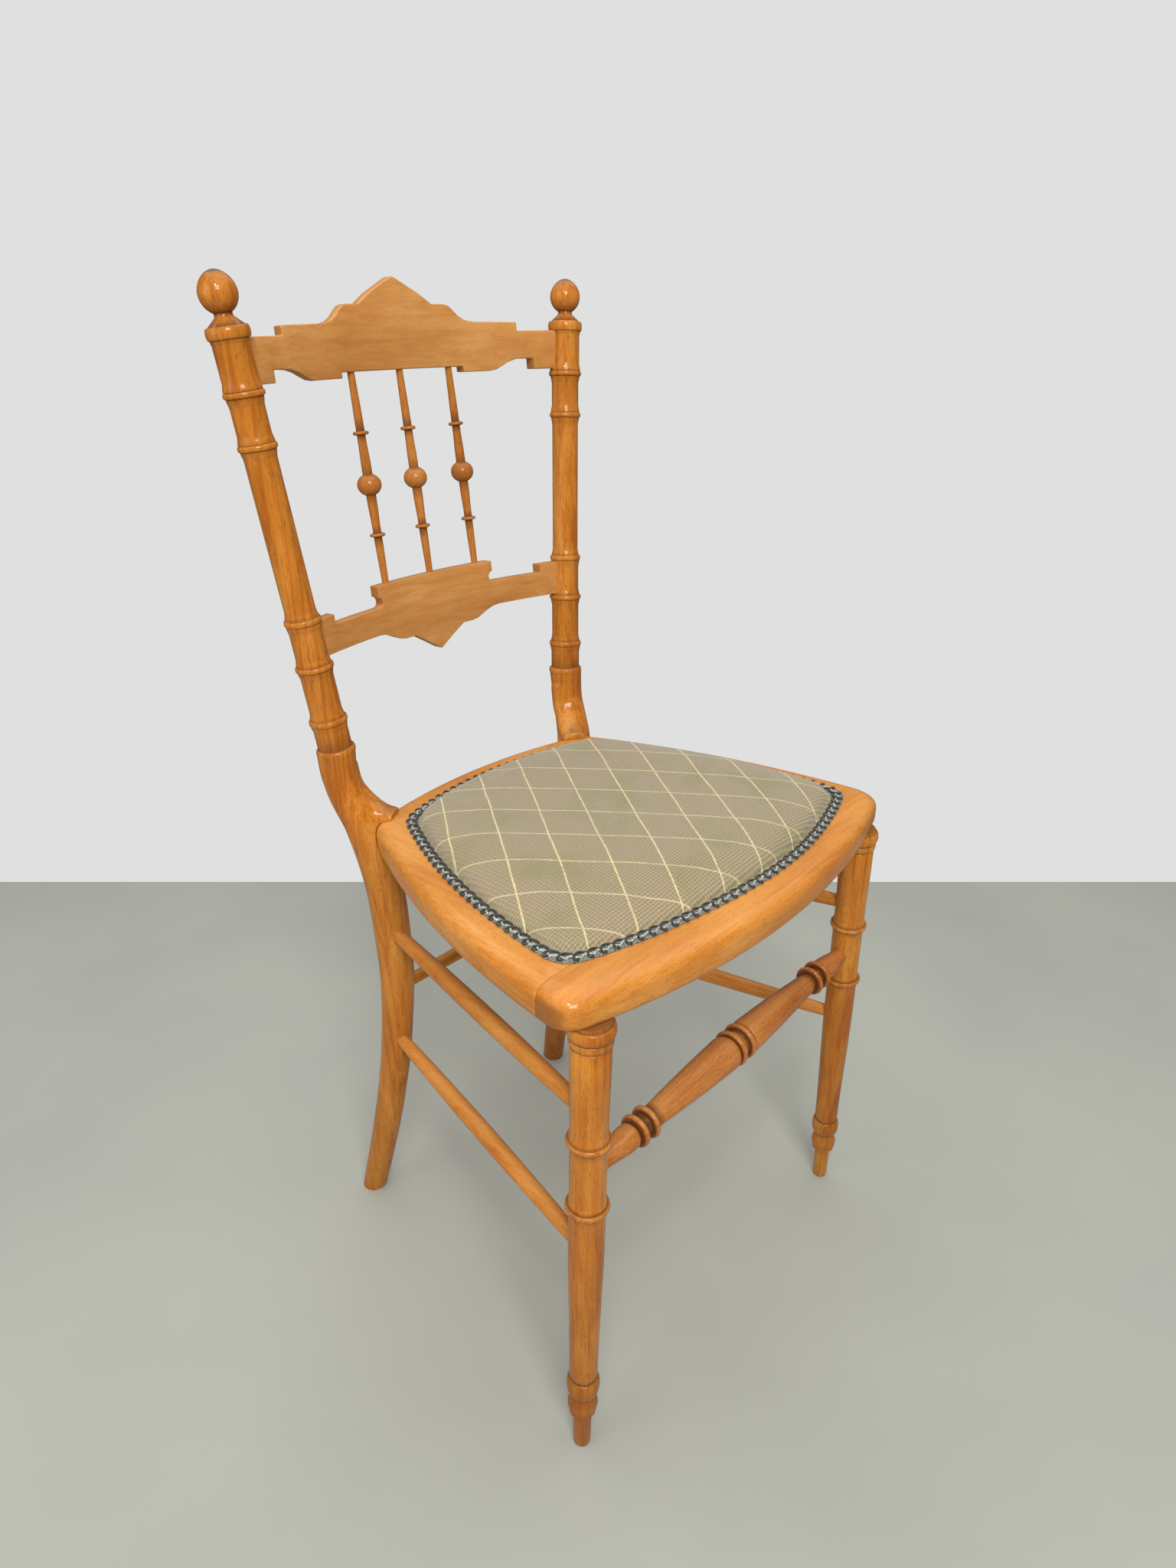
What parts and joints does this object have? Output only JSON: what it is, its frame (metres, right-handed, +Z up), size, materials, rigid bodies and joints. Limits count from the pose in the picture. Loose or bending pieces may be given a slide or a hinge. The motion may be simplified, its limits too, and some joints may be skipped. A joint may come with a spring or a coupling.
{
  "type": "side chair",
  "caption": "Light turned-wood side chair with ringed posts, fretted crest and lower rail, spindles, splayed legs, stretchers and an upholstered seat edged with braid.",
  "frame": {"origin": "on the floor, in the middle of the chair's width and depth", "axes": "+Z up, the chair faces -Y, +X to the right of someone facing the chair"},
  "size_m": [0.4144, 0.4258, 0.8674],
  "materials": {
    "varnished_wood": "satin shellac varnish on beech",
    "dowel_wood": "raw",
    "seat_fabric": "ribbed woven cloth with a thin trellis line",
    "braid": "looped braid",
    "jute": "coarse jute webbing and hessian",
    "stuffing": "fibre stuffing",
    "screw_steel": "plain"
  },
  "bodies": {
    "root": {"back_spindle_centre": "varnished_wood", "back_spindle_left": "varnished_wood", "back_spindle_right": "varnished_wood", "base_cloth": "jute", "crest_rail": "varnished_wood", "front_dowel_left_inner": "dowel_wood", "front_dowel_left_outer": "dowel_wood", "front_dowel_right_inner": "dowel_wood", "front_dowel_right_outer": "dowel_wood", "front_leg_left": "varnished_wood", "front_leg_right": "varnished_wood", "front_stretcher": "varnished_wood", "gimp_braid": "braid", "lower_back_rail": "varnished_wood", "post_screw_left": "screw_steel", "post_screw_right": "screw_steel", "rear_dowel_left_inner": "dowel_wood", "rear_dowel_left_outer": "dowel_wood", "rear_dowel_right_inner": "dowel_wood", "rear_dowel_right_outer": "dowel_wood", "rear_post_left": "varnished_wood", "rear_post_right": "varnished_wood", "rear_stretcher": "varnished_wood", "seat_cover": "seat_fabric", "seat_rail_front": "varnished_wood", "seat_rail_left": "varnished_wood", "seat_rail_rear": "varnished_wood", "seat_rail_right": "varnished_wood", "seat_stuffing": "stuffing", "side_stretcher_lower_left": "varnished_wood", "side_stretcher_lower_right": "varnished_wood", "side_stretcher_upper_left": "varnished_wood", "side_stretcher_upper_right": "varnished_wood", "webbing_cross_front": "jute", "webbing_cross_middle": "jute", "webbing_cross_rear": "jute", "webbing_long_centre": "jute", "webbing_long_left": "jute", "webbing_long_right": "jute"}
  },
  "joints": []
}
